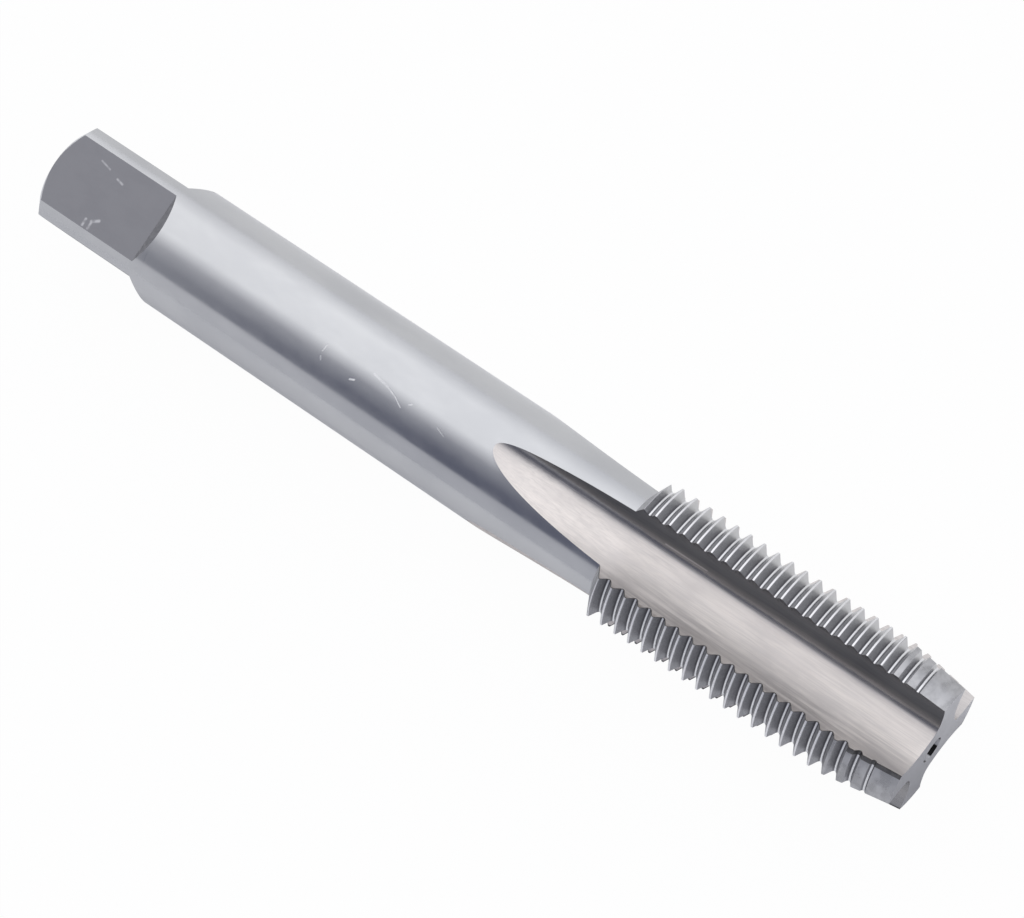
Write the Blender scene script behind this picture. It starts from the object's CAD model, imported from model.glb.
import math

import bpy
import numpy as np
from mathutils import Matrix, Vector
from mathutils.geometry import tessellate_polygon


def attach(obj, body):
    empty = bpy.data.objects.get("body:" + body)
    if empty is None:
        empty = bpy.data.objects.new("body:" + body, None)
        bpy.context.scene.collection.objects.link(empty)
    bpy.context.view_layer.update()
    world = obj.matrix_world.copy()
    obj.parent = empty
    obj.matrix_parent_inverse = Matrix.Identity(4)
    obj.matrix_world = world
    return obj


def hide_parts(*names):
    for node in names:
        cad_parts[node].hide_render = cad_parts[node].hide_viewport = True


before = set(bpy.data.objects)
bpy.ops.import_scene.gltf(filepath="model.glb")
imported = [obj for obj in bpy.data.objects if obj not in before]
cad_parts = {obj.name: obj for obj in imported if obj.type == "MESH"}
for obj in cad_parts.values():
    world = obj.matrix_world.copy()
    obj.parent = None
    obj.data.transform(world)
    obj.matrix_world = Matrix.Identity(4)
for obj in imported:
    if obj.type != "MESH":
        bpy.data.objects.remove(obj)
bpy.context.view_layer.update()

# ---------------------------------------------------------------- sizes of the tap, in millimetres
# x runs along the axis from the shank end; angles about it are in degrees, from the upper flute towards +Y.
overall_length = 100.0
thread_start = 67.2
thread_pitch = 1.5
crest_radius = 8.0
root_radius = 7.1
root_half_width = 0.1366
flank_slope = math.tan(math.radians(60))
root_round_half_width = 2 * root_half_width
last_groove = overall_length - 1.22
lead_slope = math.tan(math.radians(10))
lead_start = overall_length - 6.6
tip_radius = 6.8362
back_slope = math.tan(math.radians(60))
edge_rounding = 0.03
rounding_samples = 7

shank_radius = 6.25
shank_end_radius = 5.0
shank_end_chamfer = 1.0
square_half_width = 5.0
square_length = 12.5

rake_arc = {"centre": (-3.48782, 8.06616), "radius": 7.0, "start": -36.8216, "stop": 0.0}
bottom_arc = {"centre": (1.07506, 4.65), "radius": 1.3, "start": -95.0, "stop": -36.8216}
heel_arc = {"centre": (1.50212, 9.53135), "radius": 6.2, "start": -180.0, "stop": -95.0}
full_depth_start = 76.4
wheel_radius = 98.0
wheel_height = 3.35 + wheel_radius

tip_hole = {"mouth": 1.325, "pilot": 0.625, "depth": 3.0}
shank_hole = {"mouth": 2.125, "pilot": 1.0, "depth": 4.5}
hole_slope = math.tan(math.radians(30))
drill_slope = math.tan(math.radians(59))

rest_roll = 2.225412
axis_height = 7.0959
flute_angles = (0.0, 90.0, 180.0, 270.0)
land_lean = 2.2  # how far the middle of a land lies short of halfway between its flutes

# Where the finishes of a land change.
bright_root = 0.1
least_root_cover = 0.05
least_flank_slope = 0.62
back_finish_end = thread_start + 0.9
rim_width = 0.14
rubbed_land = 270.0  # the land of this flute has a dark band along its heel
heel_band_start = overall_length - 5.2

# How finely the flutes are ground. The rake wall's finish starts part of the way round the flute's bottom.
wall_start_share = 0.4
wall_foot = 0.2
wall_foot_at_run_out = 0.9
wall_foot_settled = full_depth_start + 4.0
wall_foot_share = 0.68
wall_top = 1.2
finer_bed_start = 88.0
finer_bed_length = 8.0
# For each flute angle, the fineness of its bed at the tip and of its rake wall, from 0, coarse, to 1, fine.
flute_fineness = {0.0: (0.0, 1.0), 90.0: (0.0, 0.35), 180.0: (0.3, 0.7), 270.0: (0.7, 0.85)}

# How closely the mesh is laid. Rows and columns count points.
station_step = 0.004
station_gap = 0.03
least_bend = 0.1
follow_from_back = 0.4  # from each end of a land, its rows turn to follow the thread over this length
follow_from_tip = 1.2
land_columns = 10
land_rim_start = 0.9  # share of a land's width, from its rake edge, where its last column starts
wall_strips = 4
bed_columns = 24
wall_columns = 20
run_out_rows = 60
full_depth_rows = 24
shank_rows = 50
plain_rows = 12
quarter_columns = 25
chamfer_rows = 9
flat_rows = 10
shoulder_rows = 12
flute_edge_points = 24
ring_points = 97
hole_ring_points = 49
bisections = 48
search_points = 4000


# ---------------------------------------------------------------- the surface, patch by patch
class Skin:
    """The patches of one surface, each with its own normals, so that the edges between them stay sharp."""

    def __init__(self):
        self.points, self.normals, self.faces, self.finishes, self.walls = [], [], [], [], []
        self.count = 0

    def add(self, points, faces, finish, wall=0.0):
        finish = np.broadcast_to(finish, len(faces))
        corners = points[faces]
        cross = np.cross(corners[:, 2] - corners[:, 0], corners[:, -1] - corners[:, 1])
        kept = np.linalg.norm(cross, axis=1) > 1e-9
        faces, cross, finish = faces[kept], cross[kept], finish[kept]
        normals = np.zeros_like(points)
        for corner in range(faces.shape[1]):
            np.add.at(normals, faces[:, corner], cross)
        length = np.linalg.norm(normals, axis=1, keepdims=True)
        normals = np.where(length > 0, normals / np.maximum(length, 1e-12), (0.0, 0.0, 1.0))
        self.points.append(points)
        self.walls.append(np.broadcast_to(wall, len(points)))
        self.normals.append(normals)
        self.faces.extend((faces + self.count).tolist())
        self.finishes.extend(finish.tolist())
        self.count += len(points)

    def grid(self, points, finish, turned=False, wall=0.0):
        rows, columns = points.shape[:2]
        index = np.arange(rows * columns).reshape(rows, columns)
        corners = [index[:-1, :-1], index[1:, :-1], index[1:, 1:], index[:-1, 1:]]
        faces = np.stack(corners, axis=-1).reshape(-1, 4)
        self.add(points.reshape(-1, 3), faces[:, ::-1] if turned else faces, finish, np.ravel(wall))


def around(x, radius, angle):
    """Points at a radius and an angle in degrees about the axis."""
    x, radius, turn = np.broadcast_arrays(x, radius, np.radians(angle))
    return np.stack([x, radius * np.sin(turn), radius * np.cos(turn)], axis=-1)


def turned_about_axis(points, angle):
    sine, cosine = math.sin(math.radians(angle)), math.cos(math.radians(angle))
    x, y, z = np.moveaxis(points, -1, 0)
    return np.stack([x, y * cosine + z * sine, z * cosine - y * sine], axis=-1)


def threaded_radius(x, angle):
    """Radius of the threaded blank, before the flutes are ground, with every corner slightly rounded."""
    total = 0.0
    for shift in np.linspace(-1, 1, rounding_samples) * edge_rounding:
        along = x + shift
        groove = groove_distance(along, angle)
        root = root_radius + groove**2 * flank_slope / (2 * root_round_half_width)
        flank = root_radius + (groove - root_half_width) * flank_slope
        thread = np.minimum(np.where(groove < root_round_half_width, root, flank), crest_radius)
        lead = tip_radius + (overall_length - along) * lead_slope
        back = shank_radius + (along - thread_start) * back_slope
        total = total + np.maximum(shank_radius, np.minimum(thread, np.minimum(lead, back)))
    return total / rounding_samples


def arc_length(arc):
    return arc["radius"] * math.radians(arc["stop"] - arc["start"])


def on_arc(arc, travelled):
    turn = np.radians(arc["start"]) + travelled / arc["radius"]
    return arc["centre"][0] + arc["radius"] * np.cos(turn), arc["centre"][1] + arc["radius"] * np.sin(turn)


heel_length, bottom_length, rake_length = arc_length(heel_arc), arc_length(bottom_arc), arc_length(rake_arc)
profile_length = heel_length + bottom_length + rake_length
wall_start = heel_length + wall_start_share * bottom_length


def flute_point(x, travelled):
    """Sideways place and height of the ground flute at x, travelled along its profile from the heel side."""
    heel = on_arc(heel_arc, travelled)
    bottom = on_arc(bottom_arc, travelled - heel_length)
    rake = on_arc(rake_arc, travelled - heel_length - bottom_length)
    in_heel, in_bottom = travelled < heel_length, travelled < heel_length + bottom_length
    side = np.where(in_heel, heel[0], np.where(in_bottom, bottom[0], rake[0]))
    height = np.where(in_heel, heel[1], np.where(in_bottom, bottom[1], rake[1]))
    behind = np.maximum(full_depth_start - x, 0.0)
    return side, wheel_height - np.sqrt((wheel_height - height) ** 2 - behind**2)


def fineness(x, travelled, flute_angle):
    """How finely the flute is ground: coarse on its bed, fine on its rake wall, and uneven between flutes."""
    bed, wall = flute_fineness[flute_angle % 360]
    bed = bed * np.clip((x - finer_bed_start) / finer_bed_length, 0, 1)
    softness = np.interp(x, (run_out_x, wall_foot_settled), (wall_foot_at_run_out, wall_foot))
    beyond = travelled - wall_start
    foot = np.clip((beyond + softness) / (softness + wall_foot), 0, 1)
    top = np.clip((beyond - wall_foot) / wall_top, 0, 1)
    return bed + (wall - bed) * (wall_foot_share * foot + (1 - wall_foot_share) * top)


def crossing(x_of_angle, radius_of, on_rake_side, rows):
    """Where along the flute profile the flute meets a surface given by its radius, by bisection."""
    low = np.full(rows, run_out_travel)
    high = np.full(rows, profile_length if on_rake_side else 0.0)
    x = x_of_angle(np.zeros(rows))
    for _ in range(bisections):
        middle = (low + high) / 2
        for _ in range(2):  # x and the angle depend on each other, and two passes settle them
            side, height = flute_point(x, middle)
            angle = np.degrees(np.arctan2(side, height))
            x = x_of_angle(angle)
        outside = np.hypot(side, height) > radius_of(x, angle)
        high = np.where(outside, middle, high)
        low = np.where(outside, low, middle)
    return x, middle, angle


def level_crossing(x, on_rake_side):
    """Where the flute meets the shank's own cylinder at each x."""
    return crossing(lambda angle: x, lambda along, angle: shank_radius, on_rake_side, len(x))


def run_out_end():
    """The x at which the flute leaves the shank, with the place on its profile and the angle there."""
    travelled = np.linspace(heel_length - 1.0, heel_length + bottom_length, search_points)
    side, depth = flute_point(full_depth_start, travelled)
    heights = np.sqrt(shank_radius**2 - side**2)
    back = np.sqrt((wheel_height - depth) ** 2 - (wheel_height - heights) ** 2)
    far = int(np.argmax(back))
    return full_depth_start - back[far], travelled[far], math.degrees(math.atan2(side[far], heights[far]))


run_out_x, run_out_travel, run_out_angle = run_out_end()


def groove_distance(x, angle):
    """How far along the axis a place on the blank is from the nearest root of the thread."""
    half = thread_pitch / 2
    return np.abs((x + thread_pitch * angle / 360 - last_groove + half) % thread_pitch - half)


def land_stations(middle_angle):
    """Places along a land, laid close together round every corner and root of its thread."""
    fine = np.arange(thread_start, overall_length, station_step)
    nearest_groove = last_groove - thread_pitch * (middle_angle / 360 % 1)
    turns = math.ceil((overall_length - thread_start) / thread_pitch) + 1
    grooves = nearest_groove - thread_pitch * np.arange(-1, turns)
    beside_root = np.array((0.045, bright_root, 0.18, root_round_half_width))
    roots = (grooves[:, None] + np.concatenate([-beside_root[::-1], (0.0,), beside_root])).ravel()
    corners = corner_places(fine, middle_angle)
    near = (corners[:, None] + np.array((-1.0, -0.4, 0.4, 1.0)) * edge_rounding).ravel()
    clear = np.abs(near[:, None] - roots).min(axis=1) > station_gap
    stations = np.sort(np.concatenate([near[clear], roots, (thread_start, overall_length)]))
    stations = stations[(stations >= thread_start) & (stations <= overall_length)]
    apart = np.concatenate([[True], np.diff(stations) > station_step])
    apart[-1] = True
    return stations[apart]


def corner_places(fine, angle):
    """The x of each change of slope along the threaded blank at one angle."""
    step = fine[1] - fine[0]
    slope = np.diff(threaded_radius(fine, angle)) / step
    apart = int(2 * edge_rounding / step)
    bend = np.abs(slope[apart:] - slope[:-apart])
    centre = fine[: len(bend)] + edge_rounding + step / 2
    peaks = (bend[1:-1] > least_bend) & (bend[1:-1] >= bend[:-2]) & (bend[1:-1] > bend[2:])
    return centre[1:-1][peaks]


def lay_land_wall(skin, x, travelled, flute_angle, on_rake_side):
    """A wall from the shank's own radius up to the thread's edge, with a narrow strip along that edge."""
    level = level_crossing(x, on_rake_side)[1]
    rim = np.sign(travelled - level) * np.minimum(rim_width, 0.5 * np.abs(travelled - level))
    reach = level[:, None] + (travelled - rim - level)[:, None] * np.linspace(0, 1, wall_strips)
    reach = np.concatenate([reach, travelled[:, None]], axis=1)
    side, height = flute_point(x[:, None], reach)
    wall = np.stack([np.broadcast_to(x[:, None], side.shape), side, height], axis=-1)
    finish = np.full((len(x) - 1, wall_strips), "flute")
    if not on_rake_side:
        finish[:, -1] = "heel"
    fine = fineness(x[:, None], reach, flute_angle)
    skin.grid(turned_about_axis(wall, flute_angle), finish.ravel(), turned=not on_rake_side, wall=fine)


def land_row_finishes(stations, slope, middle_angle):
    """The finish of each row of a land, from how steep it is and where it lies."""
    row_x = (stations[1:] + stations[:-1]) / 2
    lead_radius = tip_radius + (overall_length - row_x) * lead_slope
    in_root = groove_distance(row_x, middle_angle) < bright_root
    at_root = in_root & (lead_radius > root_radius + least_root_cover)
    finish = np.where(row_x > lead_start, "lead", "crest")
    finish = np.where(slope > least_flank_slope, "flank", finish)
    finish = np.where(at_root, "crest", finish)
    return np.where(stations[1:] < back_finish_end, "back", finish)


def lay_land(skin, flute_angle):
    """One toothed land, from one flute's rake edge to the next one's heel edge, with the walls below it."""
    middle_angle = flute_angle + 45 - land_lean
    stations = land_stations(middle_angle)
    from_back = (stations - thread_start) / follow_from_back
    from_tip = (overall_length - stations) / follow_from_tip
    follow = np.clip(from_back, 0, 1) * np.clip(from_tip, 0, 1)
    edges = []
    for on_rake_side, base in ((True, flute_angle), (False, flute_angle + 90)):

        def along(local):
            return stations - thread_pitch * (local + base - middle_angle) / 360 * follow

        def surface(x, local):
            return threaded_radius(x, local + base)

        x, travelled, angle = crossing(along, surface, on_rake_side, len(stations))
        edges.append(angle + base)
        lay_land_wall(skin, x, travelled, base, on_rake_side)
    share = np.append(np.linspace(0, land_rim_start, land_columns - 1), 1.0)
    angle = edges[0][:, None] + (edges[1] - edges[0])[:, None] * share
    x = stations[:, None] - thread_pitch * (angle - middle_angle) / 360 * follow[:, None]
    radius = threaded_radius(x, angle)
    middle = land_columns // 2
    slope = np.abs(np.diff(radius[:, middle]) / np.diff(x[:, middle]))
    finish = np.repeat(land_row_finishes(stations, slope, middle_angle)[:, None], land_columns - 1, axis=1)
    if flute_angle == rubbed_land:
        finish[stations[:-1] > heel_band_start, -1] = "heel"
    skin.grid(around(x, radius, angle), finish.ravel())


def lay_flute_bed(skin, flute_angle):
    """The ground bed of a flute, inside the shank's own radius, from the run-out to the tip."""
    run_out = run_out_x + (full_depth_start - run_out_x) * np.linspace(0, 1, run_out_rows) ** 2
    x = np.concatenate([run_out, np.linspace(full_depth_start, overall_length, full_depth_rows)[1:]])
    heel, rake = level_crossing(x, False)[1], level_crossing(x, True)[1]
    heel[0] = rake[0] = run_out_travel
    turn = np.minimum(wall_start - wall_foot, rake)
    bed = heel[:, None] + (turn - heel)[:, None] * np.linspace(0, 1, bed_columns)
    wall = turn[:, None] + (rake - turn)[:, None] * np.linspace(0, 1, wall_columns)[1:]
    travelled = np.concatenate([bed, wall], axis=1)
    side, height = flute_point(x[:, None], travelled)
    surface = np.stack([np.broadcast_to(x[:, None], side.shape), side, height], axis=-1)
    fine = fineness(x[:, None], travelled, flute_angle)
    skin.grid(turned_about_axis(surface, flute_angle), "flute", wall=fine)


def lay_shank(skin):
    """The round shank between the square and the thread, with the flutes running out into it."""
    shoulder_end = square_length + shank_radius - square_half_width
    x = run_out_x + (thread_start - run_out_x) * np.linspace(0, 1, shank_rows) ** 2
    heel, rake = level_crossing(x, False)[2], level_crossing(x, True)[2]
    heel[0] = rake[0] = run_out_angle
    share = np.linspace(0, 1, quarter_columns)
    plain = np.linspace(shoulder_end, run_out_x, plain_rows)
    for flute_angle in flute_angles:
        angle = flute_angle + rake[:, None] + (90 + heel - rake)[:, None] * share
        skin.grid(around(x[:, None], shank_radius, angle), "shank")
        skin.grid(around(plain[:, None], shank_radius, flute_angle + run_out_angle + 90 * share), "shank")


def lay_square(skin):
    """The driving square: four flats with 45 degree shoulders, round corners and the end chamfer."""
    shoulder = shank_radius - square_half_width
    chamfer = shank_end_chamfer * np.linspace(0, 1, chamfer_rows) ** 2
    body = np.linspace(shank_end_chamfer, square_length, flat_rows)
    run = square_length + shoulder * (1 - np.linspace(1, 0, shoulder_rows) ** 2)
    x = np.concatenate([chamfer, body[1:], run[1:]])
    chamfered = shank_end_radius + x * (shank_radius - shank_end_radius) / shank_end_chamfer
    outer = np.minimum(shank_radius, chamfered)
    distance = square_half_width + np.maximum(x - square_length, 0)
    half = np.degrees(np.arccos(np.clip(distance / outer, -1, 1)))
    share = np.linspace(0, 1, quarter_columns)
    chamfer_end = chamfer_rows - 1
    flat_end = chamfer_end + flat_rows - 1
    for flute_angle in flute_angles:
        angle = flute_angle + half[:, None] + (90 - 2 * half)[:, None] * share
        corner = around(x[:, None], outer[:, None], angle)
        skin.grid(corner[: chamfer_end + 1], "shank")
        skin.grid(corner[chamfer_end:], "shank")
        reach = half[:, None] * (2 * share - 1)
        flat = around(x[:, None], distance[:, None] / np.cos(np.radians(reach)), reach)
        skin.grid(turned_about_axis(flat[: flat_end + 1], flute_angle), "square")
        skin.grid(turned_about_axis(flat[flat_end:], flute_angle), "shoulder")


def lay_centre_hole(skin, hole, face_x, inward):
    """A centre hole: its 60 degree mouth, pilot and drill point."""
    cone = (hole["mouth"] - hole["pilot"]) / hole_slope
    outline = [
        (0.0, hole["mouth"]),
        (cone, hole["pilot"]),
        (hole["depth"], hole["pilot"]),
        (hole["depth"] + hole["pilot"] / drill_slope, 0.0),
    ]
    angle = np.linspace(0, 360, hole_ring_points)
    for start, stop in zip(outline, outline[1:]):
        depth, radius = np.linspace(start, stop, 3).T
        rings = around((face_x + inward * depth)[:, None], radius[:, None], angle)
        skin.grid(rings, "hole", turned=inward > 0)


def tip_outline():
    """The outline of the tip's face, flute by flute and land by land."""
    contour = []
    share = np.linspace(0, 1, flute_edge_points)
    x = np.array([overall_length])
    _, heel, heel_angle = crossing(lambda angle: x, threaded_radius, False, 1)
    _, rake, rake_angle = crossing(lambda angle: x, threaded_radius, True, 1)
    for flute_angle in flute_angles:
        side, height = flute_point(overall_length, heel + (rake - heel) * share)
        line = np.stack([np.full_like(side, overall_length), side, height], axis=-1)
        contour.append(turned_about_axis(line, flute_angle))
        land = flute_angle + rake_angle + (90 + heel_angle - rake_angle) * share[1:-1]
        contour.append(around(overall_length, threaded_radius(overall_length, land), land))
    return np.concatenate(contour)


def lay_ends(skin):
    """The face of the tip, between the flutes, and the plain face of the shank, each with its centre hole."""
    outer = tip_outline()
    inner = around(overall_length, tip_hole["mouth"], np.linspace(0, 360, hole_ring_points)[:-1])[::-1]
    rings = [[Vector(point) for point in ring.tolist()] for ring in (outer, inner)]
    faces = np.array(tessellate_polygon(rings))
    points = np.concatenate([outer, inner])
    corners = points[faces]
    ahead = np.cross(corners[:, 1] - corners[:, 0], corners[:, 2] - corners[:, 0])[:, 0] > 0
    skin.add(points, np.where(ahead[:, None], faces, faces[:, ::-1]), "end")
    lay_centre_hole(skin, tip_hole, overall_length, -1)
    radius = np.linspace(shank_hole["mouth"], shank_end_radius, 3)
    skin.grid(around(0.0, radius[:, None], np.linspace(0, 360, ring_points)), "end")
    lay_centre_hole(skin, shank_hole, 0.0, 1)


def make_tap(finishes):
    skin = Skin()
    lay_square(skin)
    lay_shank(skin)
    for flute_angle in flute_angles:
        lay_flute_bed(skin, flute_angle)
        lay_land(skin, flute_angle)
    lay_ends(skin)
    lift = np.array([-overall_length / 2, 0.0, axis_height])
    points = (turned_about_axis(np.concatenate(skin.points), rest_roll) + lift) / 1000
    normals = turned_about_axis(np.concatenate(skin.normals), rest_roll)
    mesh = bpy.data.meshes.new("tap_surface")
    mesh.from_pydata(points.tolist(), [], skin.faces)
    names = list(finishes)
    for name in names:
        mesh.materials.append(finishes[name])
    mesh.polygons.foreach_set("material_index", [names.index(name) for name in skin.finishes])
    mesh.attributes.new("wall", "FLOAT", "POINT").data.foreach_set("value", np.concatenate(skin.walls))
    mesh.shade_smooth()
    mesh.normals_split_custom_set_from_vertices(normals.tolist())
    tap = bpy.data.objects.new("tap_surface", mesh)
    bpy.context.scene.collection.objects.link(tap)
    return tap


# ---------------------------------------------------------------- materials
def node(tree, kind, inputs=None, **settings):
    """Adds a node, with its settings, and with each named input set to a value or linked to a socket."""
    made = tree.nodes.new(kind)
    for name, value in settings.items():
        setattr(made, name, value)
    for name, value in (inputs or {}).items():
        if isinstance(value, bpy.types.NodeSocket):
            tree.links.new(value, made.inputs[name])
        else:
            made.inputs[name].default_value = value
    return made


def maths(tree, operation, *values, clamp=False):
    inputs = dict(enumerate(values))
    return node(tree, "ShaderNodeMath", inputs, operation=operation, use_clamp=clamp).outputs[0]


def mapped(tree, value, low, high, to_low=0.0, to_high=1.0):
    ends = {"Value": value, "From Min": low, "From Max": high, "To Min": to_low, "To Max": to_high}
    return node(tree, "ShaderNodeMapRange", ends, interpolation_type="SMOOTHSTEP").outputs[0]


def blended(tree, factor, first, second):
    """A colour between two colours or colour sockets."""
    made = node(tree, "ShaderNodeMix", data_type="RGBA")
    for index, value in ((0, factor), (6, first), (7, second)):
        if isinstance(value, bpy.types.NodeSocket):
            tree.links.new(value, made.inputs[index])
        else:
            made.inputs[index].default_value = value if index == 0 else (*value, 1)
    return made.outputs[2]


class Steel:
    """One ground or milled finish of the tool steel, built up from noises laid along and round the axis."""

    def __init__(self, name):
        self.material = bpy.data.materials.new(name)
        self.material.use_nodes = True
        self.tree = self.material.node_tree
        self.shader = self.tree.nodes["Principled BSDF"]
        self.shader.inputs["Metallic"].default_value = 1.0
        place = node(self.tree, "ShaderNodeTexCoord").outputs["Object"]
        self.place = self.vector("ADD", place, (0, 0, -axis_height / 1000)).outputs["Vector"]
        self.along, self.across, self.up = node(self.tree, "ShaderNodeSeparateXYZ", {0: self.place}).outputs
        squares = [self.maths("POWER", part, 2.0) for part in (self.across, self.up)]
        self.radius = self.maths("SQRT", self.maths("ADD", *squares))
        self.turn = self.maths("ARCTAN2", self.across, self.up)

    def maths(self, operation, *values, clamp=False):
        return maths(self.tree, operation, *values, clamp=clamp)

    def vector(self, operation, *values):
        return node(self.tree, "ShaderNodeVectorMath", dict(enumerate(values)), operation=operation)

    def mapped(self, value, low, high, to_low=0.0, to_high=1.0):
        return mapped(self.tree, value, low, high, to_low, to_high)

    def spread(self, noise, to_low=0.0, to_high=1.0):
        """A noise stretched over a whole range."""
        return self.mapped(noise, *NOISE_RANGE, to_low, to_high)

    def blended(self, factor, first, second):
        return blended(self.tree, factor, first, second)

    def noise(self, along, across, detail=3.0, slant=0.0):
        """Noise with so many cells per metre along the axis and across it, and a slant seen from above."""
        place = self.place
        if slant:
            turned = {"Vector": place, "Angle": slant}
            place = node(self.tree, "ShaderNodeVectorRotate", turned, rotation_type="Z_AXIS").outputs[0]
        where = self.vector("MULTIPLY", place, (along, across, across)).outputs["Vector"]
        inputs = {"Vector": where, "Scale": 1.0, "Detail": detail, "Roughness": 0.55}
        return node(self.tree, "ShaderNodeTexNoise", inputs).outputs["Fac"]

    def lines(self, cells_along, cells_round):
        """Grinding lines round the axis: noise with so many cells per metre and per radian."""
        along = self.maths("MULTIPLY", self.along, cells_along)
        turn = self.maths("MULTIPLY", self.turn, cells_round)
        where = node(self.tree, "ShaderNodeCombineXYZ", {0: along, 1: turn}).outputs[0]
        inputs = {"Vector": where, "Scale": 1.0, "Detail": 2.0, "Roughness": 0.6}
        return node(self.tree, "ShaderNodeTexNoise", inputs).outputs["Fac"]

    def scratches(self, first, second, places):
        """Pale scratches on two surface coordinates in metres, each a straight stroke."""
        here = node(self.tree, "ShaderNodeCombineXYZ", {0: first, 1: second}).outputs[0]
        total = None
        for start, stop, half_width, strength in places:
            start, stop = Vector((*start, 0)) / 1000, Vector((*stop, 0)) / 1000
            reach = stop - start
            offset = self.vector("SUBTRACT", here, start).outputs["Vector"]
            share = self.vector("DOT_PRODUCT", offset, reach / reach.length_squared).outputs["Value"]
            held = {0: reach, "Scale": self.maths("ADD", share, 0.0, clamp=True)}
            nearest = node(self.tree, "ShaderNodeVectorMath", held, operation="SCALE").outputs["Vector"]
            distance = self.vector("DISTANCE", offset, nearest).outputs["Value"]
            edge = half_width / 1000
            mark = self.mapped(distance, SCRATCH_CORE * edge, edge, strength, 0.0)
            total = mark if total is None else self.maths("MAXIMUM", total, mark)
        return total

    def on_top(self):
        """1 on the upper side of the tap, and 0 below it."""
        return self.mapped(self.up, 2 * MM, 3 * MM)

    def set(self, name, socket):
        self.tree.links.new(socket, self.shader.inputs[name])

    def colour(self, factor, first, second):
        self.set("Base Color", self.blended(factor, first, second))

    def roughness(self, noise, low, high):
        self.set("Roughness", self.spread(noise, low, high))

    def bump(self, height, distance):
        relief = node(self.tree, "ShaderNodeBump", {"Height": height, "Distance": distance})
        self.set("Normal", relief.outputs[0])

    def brushed(self, amount):
        """Stretches the gloss round the axis."""
        self.shader.inputs["Anisotropic"].default_value = amount
        tangent = node(self.tree, "ShaderNodeTangent", direction_type="RADIAL", axis="X")
        self.set("Tangent", tangent.outputs[0])


MM = 0.001
MICRON = 0.000001
NOISE_RANGE = (0.3, 0.7)  # nearly all of a noise lies between these
SCRATCH_CORE = 0.2  # share of a scratch's width that shows at full strength
FINE_LINES = (30000, 8.0)

# Each mark: its two ends, along and across the tap from its middle, its half width, all in millimetres, and
# how strongly it shows.
SHANK_NICKS = (
    ((-15.84, 0.17), (-15.93, -0.50), 0.10, 0.55),
    ((-15.85, -1.0), (-15.67, -1.31), 0.11, 0.45),
    ((-12.22, -1.30), (-11.80, -1.12), 0.14, 1.0),
    ((-10.4, 0.38), (-8.64, 0.09), 0.18, 0.3),
    ((-8.64, 0.09), (-7.49, -0.32), 0.10, 0.5),
    ((-7.49, -0.32), (-6.54, -0.88), 0.08, 0.7),
    ((-5.93, -0.19), (-5.75, -0.05), 0.14, 0.35),
    ((-2.47, -0.52), (-1.53, -0.89), 0.09, 0.3),
)
RAKE_MARKS = (
    ((20.7, 2.12), (25.2, 2.17), 0.09, 0.55),
    ((9.5, 1.62), (14.5, 1.66), 0.07, 0.3),
)
SQUARE_RUBS = (
    ((-45.98, 2.81), (-44.76, 2.52), 0.13, 0.7),
    ((-43.55, 2.13), (-42.82, 1.98), 0.16, 0.8),
    ((-43.31, -2.57), (-42.68, -2.14), 0.24, 1.0),
    ((-43.94, -2.66), (-43.93, -3.33), 0.20, 1.0),
    ((-43.26, -2.66), (-43.25, -3.33), 0.20, 1.0),
)


def shank_finish():
    """Cylindrically ground and satin polished, faintly wavy, with a few handling nicks."""
    steel = Steel("ground_shank")
    cloud = steel.noise(120, 260, detail=4)
    tint = steel.blended(steel.spread(cloud), (0.55, 0.555, 0.56), (0.60, 0.605, 0.605))
    arc = steel.maths("MULTIPLY", steel.turn, shank_radius * MM)
    broken = steel.mapped(steel.noise(2500, 2500), 0.3, 0.65, 0.45, 1.0)
    nicks = steel.maths("MULTIPLY", steel.scratches(steel.along, arc, SHANK_NICKS), broken)
    steel.colour(nicks, tint, (0.95, 0.95, 0.95))
    worn = steel.spread(steel.noise(400, 900), 0.13, 0.19)
    steel.set("Roughness", steel.maths("ADD", worn, steel.maths("MULTIPLY", nicks, 0.5)))
    waves = steel.maths("MULTIPLY", steel.noise(160, 330, detail=2), 5.0)
    relief = steel.maths("ADD", steel.lines(16000, 6.0), waves)
    relief = steel.maths("ADD", relief, steel.maths("MULTIPLY", nicks, -12.0))
    steel.bump(relief, 1.2 * MICRON)
    return steel.material


def square_finish():
    """Milled flats, dull and dark, with a few pale rub marks on the upper one."""
    steel = Steel("milled_square")
    cloud = steel.noise(300, 500, detail=4)
    broken = steel.mapped(steel.noise(2500, 2500), 0.3, 0.65, 0.1, 0.55)
    rubs = steel.scratches(steel.along, steel.across, SQUARE_RUBS)
    rubs = steel.maths("MULTIPLY", steel.maths("MULTIPLY", rubs, steel.on_top()), broken)
    tint = steel.blended(steel.spread(cloud), (0.24, 0.24, 0.255), (0.275, 0.275, 0.29))
    steel.colour(rubs, tint, (0.75, 0.75, 0.76))
    steel.roughness(cloud, 0.42, 0.52)
    steel.bump(steel.noise(900, 14000), 2 * MICRON)
    return steel.material


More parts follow.
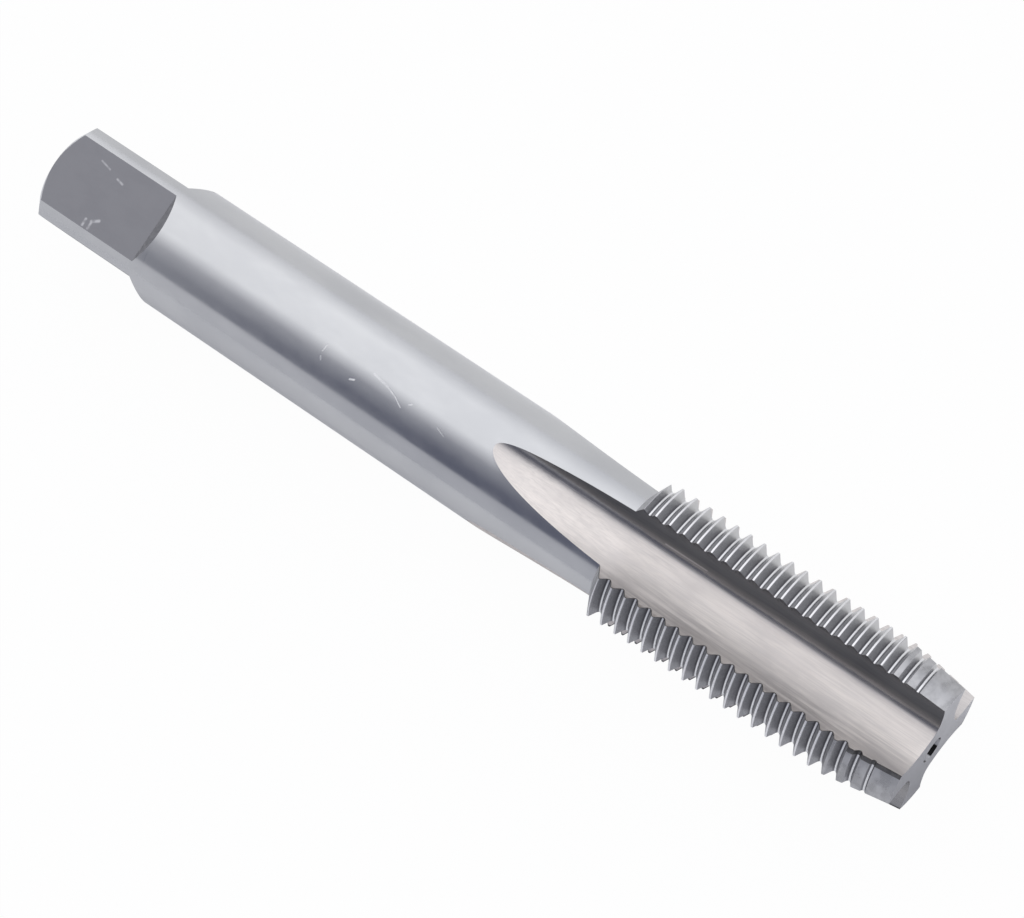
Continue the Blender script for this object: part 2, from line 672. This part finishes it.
def flute_finish():
    """A flute: its bed is coarsely ground, with streaks and a warm cast, and its rake wall finely ground."""
    steel = Steel("ground_flute")
    streaks = steel.noise(260, 9000, detail=4, slant=-0.015)
    broad = steel.noise(130, 2100, detail=5, slant=0.035)
    patches = steel.mapped(steel.noise(190, 420, detail=6, slant=-0.1), 0.42, 0.68, 0.0, 0.7)
    mixed = steel.maths("ADD", steel.maths("MULTIPLY", streaks, 0.4), steel.maths("MULTIPLY", broad, 0.6))
    bed = steel.blended(steel.mapped(mixed, 0.34, 0.65), (0.66, 0.622, 0.59), (0.87, 0.815, 0.765))
    bed = steel.blended(patches, bed, (0.68, 0.64, 0.612))
    wall = steel.blended(steel.spread(streaks), (0.165, 0.175, 0.187), (0.205, 0.217, 0.23))
    marks = steel.maths("MULTIPLY", steel.scratches(steel.along, steel.across, RAKE_MARKS), steel.on_top())
    wall = steel.blended(marks, wall, (0.8, 0.8, 0.8))
    fine = node(steel.tree, "ShaderNodeAttribute", attribute_name="wall").outputs["Fac"]
    steel.colour(fine, bed, wall)
    rough = {0: fine, 2: steel.spread(broad, 0.36, 0.44), 3: 0.17}
    steel.set("Roughness", node(steel.tree, "ShaderNodeMix", rough).outputs[0])
    steel.bump(mixed, 8 * MICRON)
    steel.brushed(0.7)
    return steel.material


def flank_finish():
    """The thread's ground flanks, dirtier towards the root, and rubbed paler on the far side of the tap."""
    steel = Steel("ground_flank")
    grit = steel.noise(9000, 9000)
    tint = steel.blended(steel.spread(grit), (0.34, 0.34, 0.35), (0.49, 0.49, 0.50))
    above_root = steel.mapped(steel.radius, 7.16 * MM, 7.36 * MM)
    tint = steel.blended(above_root, (0.21, 0.21, 0.22), tint)
    far_side = steel.mapped(steel.across, 5.75 * MM, 6.05 * MM)
    steel.colour(far_side, tint, (0.63, 0.63, 0.625))
    steel.roughness(grit, 0.28, 0.4)
    steel.bump(grit, 4 * MICRON)
    return steel.material


def mottled_steel(name, cloud_cells, dark, light, rough, detail=3.0, ends=NOISE_RANGE):
    """A plain finish, mottled between two colours, and its noise."""
    steel = Steel(name)
    cloud = steel.noise(*cloud_cells, detail=detail)
    steel.colour(steel.mapped(cloud, *ends), dark, light)
    steel.roughness(cloud, *rough)
    return steel, cloud


def shoulder_finish():
    """The milled shoulders of the square."""
    grey = (0.33, 0.33, 0.343), (0.39, 0.39, 0.402)
    steel, cloud = mottled_steel("milled_shoulder", (900, 2500), *grey, (0.4, 0.5), detail=4)
    steel.bump(cloud, 2 * MICRON)
    return steel.material


def crest_finish():
    """Crests and roots of the thread, which catch the light."""
    grey = (0.78, 0.78, 0.78), (0.88, 0.88, 0.88)
    steel, _ = mottled_steel("bright_crest", (2000, 900), *grey, (0.2, 0.3))
    steel.bump(steel.lines(*FINE_LINES), 1 * MICRON)
    return steel.material


def back_finish():
    """The cone behind the thread."""
    grey = (0.42, 0.42, 0.43), (0.56, 0.56, 0.57)
    steel, _ = mottled_steel("ground_back", (1500, 900), *grey, (0.3, 0.4))
    steel.bump(steel.lines(*FINE_LINES), 1 * MICRON)
    return steel.material


def lead_finish():
    """The ground lead, a little mottled."""
    grey = (0.38, 0.38, 0.385), (0.52, 0.52, 0.525)
    steel, cloud = mottled_steel("ground_lead", (900, 600), *grey, (0.25, 0.35), detail=4, ends=(0.35, 0.65))
    steel.bump(cloud, 10 * MICRON)
    return steel.material


def heel_finish():
    """The dark rims along the heels, and the rubbed band on one of them."""
    grey = (0.12, 0.12, 0.12), (0.2, 0.195, 0.19)
    steel, _ = mottled_steel("dark_heel", (1500, 1500), *grey, (0.35, 0.5))
    return steel.material


def end_finish():
    """Faced ends, with fine turning marks round the axis, darker towards the near side."""
    steel = Steel("turned_end")
    rings = steel.maths("SINE", steel.maths("MULTIPLY", steel.radius, 2 * math.pi / (0.11 * MM)))
    cloud = steel.noise(500, 500, detail=4)
    tint = steel.blended(steel.spread(cloud), (0.47, 0.47, 0.48), (0.56, 0.56, 0.57))
    steel.colour(steel.mapped(steel.across, -6 * MM, 3 * MM), (0.36, 0.36, 0.37), tint)
    steel.roughness(cloud, 0.35, 0.45)
    steel.bump(steel.maths("ADD", rings, cloud), 1.2 * MICRON)
    return steel.material


def hole_finish():
    """Centre holes, black inside. The tip's is also black along its middle and dark along its two sides."""
    steel = Steel("dark_hole")
    cloud = steel.noise(3000, 3000)
    at_tip = steel.mapped(steel.along, -10 * MM, 10 * MM)
    at_shank = steel.maths("SUBTRACT", 1.0, at_tip)
    aside = steel.maths("ABSOLUTE", steel.across)
    beside = steel.maths("MAXIMUM", steel.mapped(aside, 0.48 * MM, 0.62 * MM), at_shank)
    clear = steel.maths("MULTIPLY", beside, steel.mapped(steel.radius, 0.98 * MM, 1.12 * MM))
    sides = steel.maths("MULTIPLY", steel.mapped(aside, 1.05 * MM, 1.2 * MM), at_tip)
    tint = steel.blended(steel.spread(cloud), (0.40, 0.40, 0.41), (0.52, 0.52, 0.53))
    tint = steel.blended(sides, tint, (0.12, 0.12, 0.12))
    steel.colour(clear, (0.015, 0.015, 0.015), tint)
    steel.roughness(cloud, 0.5, 0.65)
    return steel.material


finishes = {
    "shank": shank_finish(),
    "square": square_finish(),
    "flute": flute_finish(),
    "shoulder": shoulder_finish(),
    "flank": flank_finish(),
    "back": back_finish(),
    "heel": heel_finish(),
    "crest": crest_finish(),
    "lead": lead_finish(),
    "end": end_finish(),
    "hole": hole_finish(),
}

tap = make_tap(finishes)
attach(tap, "root")
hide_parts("tap")


# ---------------------------------------------------------------- floor, light and camera
FLOOR_SIZE = 6.0
FLOOR_SEEN = 0.97  # share of the floor's look to the camera that is plain white
FLOOR_EDGE = (-0.004, 0.02)  # across the tap, in metres, where the floor gets brighter in reflections
FLOOR_MIRRORED = (0.08, 0.42)


def make_floor():
    """A floor that is white to the camera, with a trace of the tap's shadow, and dim in the steel."""
    bpy.ops.mesh.primitive_plane_add(size=FLOOR_SIZE, location=(0, 0, 0))
    floor = bpy.context.object
    floor.name = "floor"
    material = bpy.data.materials.new("pale_floor")
    material.use_nodes = True
    tree = material.node_tree
    tree.nodes.clear()
    path = node(tree, "ShaderNodeLightPath").outputs
    place = node(tree, "ShaderNodeTexCoord").outputs["Object"]
    across = node(tree, "ShaderNodeSeparateXYZ", {0: place}).outputs["Y"]
    brightness = mapped(tree, across, *FLOOR_EDGE, *FLOOR_MIRRORED)
    mirrored = maths(tree, "MULTIPLY", path["Is Glossy Ray"], brightness)
    seen = maths(tree, "MAXIMUM", maths(tree, "MULTIPLY", path["Is Camera Ray"], FLOOR_SEEN), mirrored)
    diffuse = node(tree, "ShaderNodeBsdfDiffuse", {"Color": (0.85, 0.85, 0.86, 1)}).outputs[0]
    glow = node(tree, "ShaderNodeEmission", {"Strength": 1.0}).outputs[0]
    mix = node(tree, "ShaderNodeMixShader", {0: seen, 1: diffuse, 2: glow}).outputs[0]
    node(tree, "ShaderNodeOutputMaterial", {"Surface": mix})
    floor.data.materials.append(material)


# Light levels round the tap's axis, as degrees from straight up towards the far side.
STUDIO = (
    (-61.5, 0.60),  # pale near side, up to the edge of a dark gap
    (-58.5, 0.17),
    (-42.0, 0.175),
    (-17.0, 0.41),
    (8.0, 1.20),  # soft box overhead and on the far side
    (60.0, 1.23),
    (90.0, 0.84),
    (175.0, 0.62),
)
STUDIO_TINT = (-0.01, 0.0, 0.06)
# Paler light from beyond the shank's end: its colour, the X parts of the directions between which it fades,
# and how much of it is blended in.
SHANK_END_LIGHT = (1.36, 1.35, 1.36)
SHANK_END_EDGE = (-0.47, -0.35)
SHANK_END_SHARE = 0.26


def make_world():
    """A studio round the tap's axis, with a wide soft box on the far side and a darker near side."""
    world = bpy.data.worlds.new("studio")
    bpy.context.scene.world = world
    world.use_nodes = True
    tree = world.node_tree
    tree.nodes.clear()
    direction = node(tree, "ShaderNodeTexCoord").outputs["Generated"]
    parts = node(tree, "ShaderNodeSeparateXYZ", {0: direction}).outputs
    turn = maths(tree, "ARCTAN2", parts["Y"], parts["Z"])
    share = maths(tree, "ADD", maths(tree, "DIVIDE", turn, 2 * math.pi), 0.5)
    ramp = node(tree, "ShaderNodeValToRGB", {"Fac": share})
    stops = ramp.color_ramp.elements
    for _ in STUDIO[2:]:
        stops.new(0.5)
    for stop, (angle, level) in zip(stops, STUDIO):
        stop.position = (angle + 180) / 360
        stop.color = (*(level + tint for tint in STUDIO_TINT), 1)
    shank_end = mapped(tree, parts["X"], *SHANK_END_EDGE, SHANK_END_SHARE, 0.0)
    colour = blended(tree, shank_end, ramp.outputs["Color"], SHANK_END_LIGHT)
    light = node(tree, "ShaderNodeBackground", {"Color": colour}).outputs[0]
    white = node(tree, "ShaderNodeBackground", {"Color": (1, 1, 1, 1)}).outputs[0]
    seen = node(tree, "ShaderNodeLightPath").outputs["Is Camera Ray"]
    mix = node(tree, "ShaderNodeMixShader", {0: seen, 1: light, 2: white}).outputs[0]
    node(tree, "ShaderNodeOutputWorld", {"Surface": mix})


# The camera, fitted to the edges of the tap in the photograph. Its two places are in metres.
camera_place = Vector((0.0925046, 0.0042912, 0.2836366))
camera_target = Vector((0.0030929, 0.0007769, 0.0070959))
camera_right = Vector((0.791434, 0.551829, -0.262901))
camera_lens = 111.191


def make_camera():
    data = bpy.data.cameras.new("camera")
    data.sensor_width = 36.0
    data.lens = camera_lens
    camera = bpy.data.objects.new("camera", data)
    bpy.context.scene.collection.objects.link(camera)
    back = (camera_place - camera_target).normalized()
    right = (camera_right - back * camera_right.dot(back)).normalized()
    up = back.cross(right)
    turn = Matrix((right, up, back)).transposed().to_4x4()
    camera.matrix_world = Matrix.Translation(camera_place) @ turn
    bpy.context.scene.camera = camera


make_floor()
make_world()
make_camera()
bpy.context.scene.view_settings.view_transform = "Standard"
